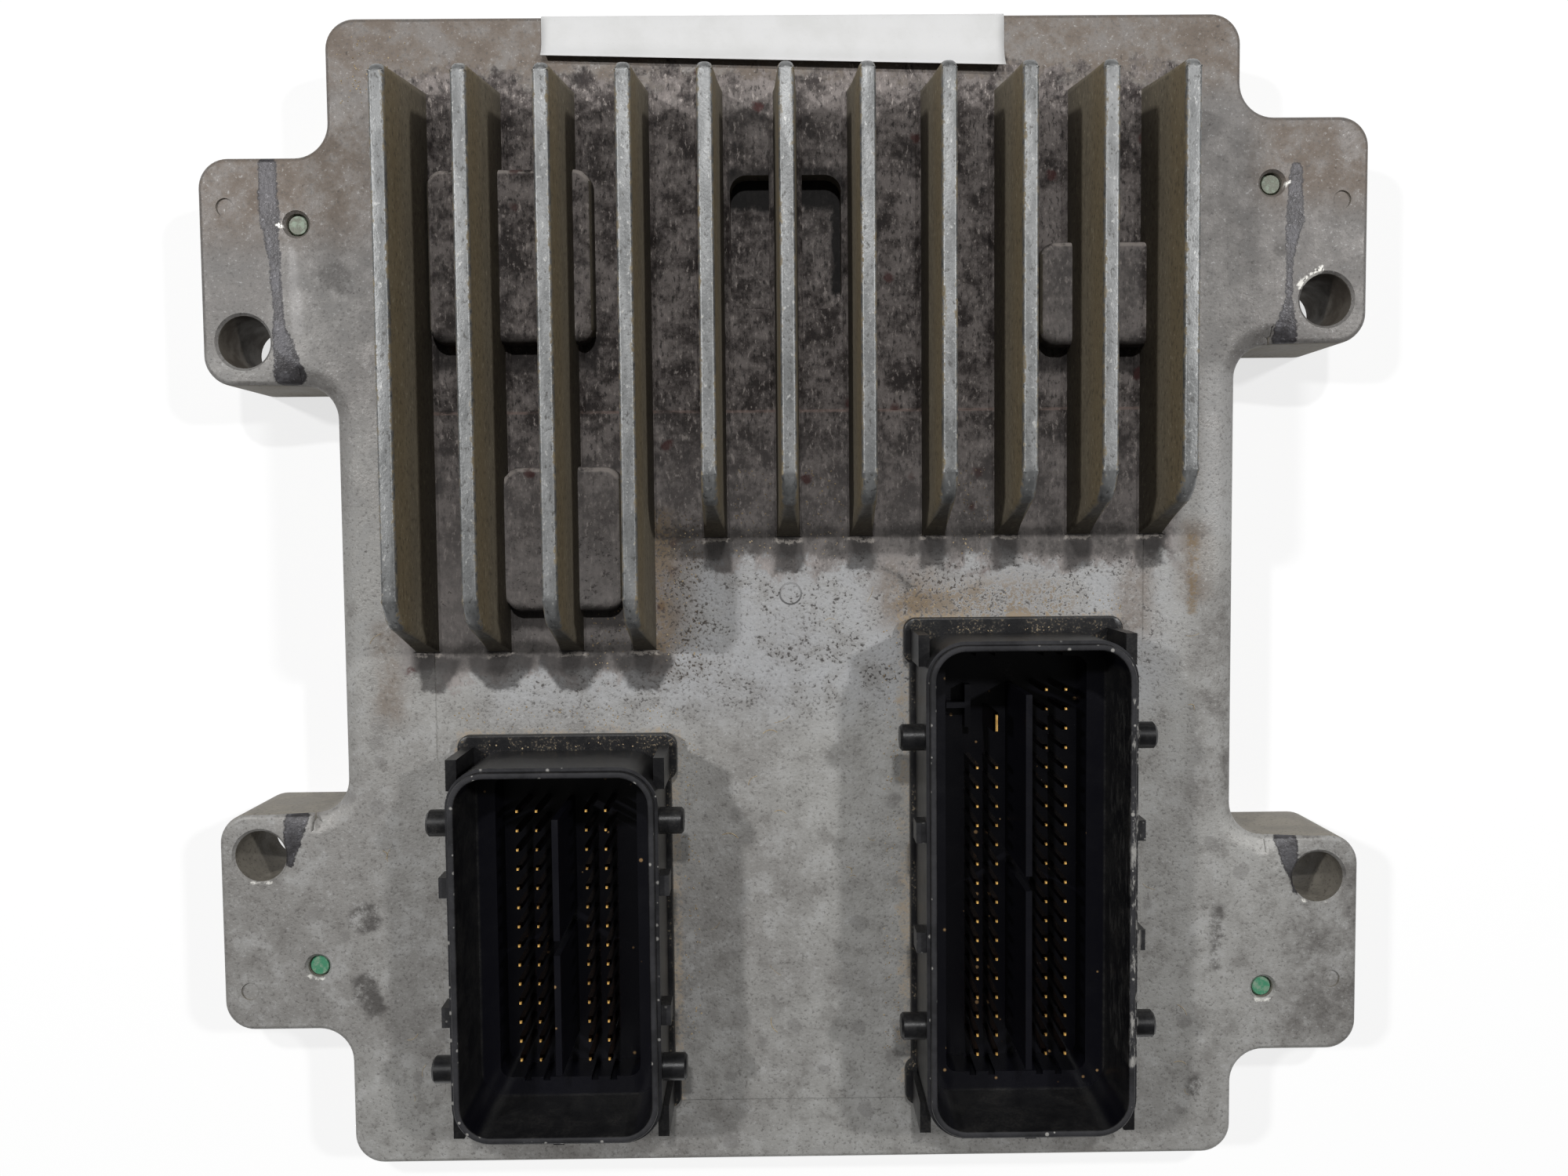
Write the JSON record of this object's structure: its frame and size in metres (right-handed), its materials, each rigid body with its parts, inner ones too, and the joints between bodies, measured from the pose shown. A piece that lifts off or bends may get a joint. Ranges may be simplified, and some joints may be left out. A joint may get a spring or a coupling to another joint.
{
  "type": "engine control unit",
  "caption": "Flat engine computer: finned die-cast housing with mounting ears, and two black shrouded pin headers for the engine's wiring plugs.",
  "frame": {"origin": "middle of the rear face, where the unit rests", "axes": "+Z out of the finned face, +Y from the headers towards the upper ends of the fins, +X to the right seen from the finned side"},
  "size_m": [0.156, 0.155, 0.0303],
  "materials": {
    "cast_aluminium": "as cast, stained",
    "cover_aluminium": "mill finish",
    "plated_steel": "green-grey plating",
    "header_plastic": "glass-filled, dusty",
    "pin_metal": "plated",
    "seal_rubber": "soft",
    "board_laminate": "solder mask",
    "chip_plastic": "moulded",
    "pad_silicone": "soft",
    "can_aluminium": "drawn",
    "choke_ferrite": "sintered",
    "film_plastic": "moulded",
    "capacitor_ceramic": "sintered",
    "crystal_can": "drawn"
  },
  "bodies": {
    "root": {"housing": "cast_aluminium", "rear_cover": "cover_aluminium", "cover_seal": "seal_rubber", "cover_screws": "plated_steel", "left_header_shell": "header_plastic", "left_header_pins": "pin_metal", "left_header_seal": "seal_rubber", "right_header_shell": "header_plastic", "right_header_pins": "pin_metal", "right_header_blade": "pin_metal", "right_header_seal": "seal_rubber", "circuit_board": "board_laminate", "board_screws": "plated_steel", "microcontroller": "chip_plastic", "memory_chip": "chip_plastic", "crystal": "crystal_can", "network_transceivers": "chip_plastic", "power_supply_chip": "chip_plastic", "throttle_driver": "chip_plastic", "injector_driver": "chip_plastic", "ignition_drivers": "chip_plastic", "thermal_pads": "pad_silicone", "electrolytic_capacitors": "can_aluminium", "input_choke": "choke_ferrite", "film_capacitor": "film_plastic", "filter_capacitors": "capacitor_ceramic"}
  },
  "joints": []
}
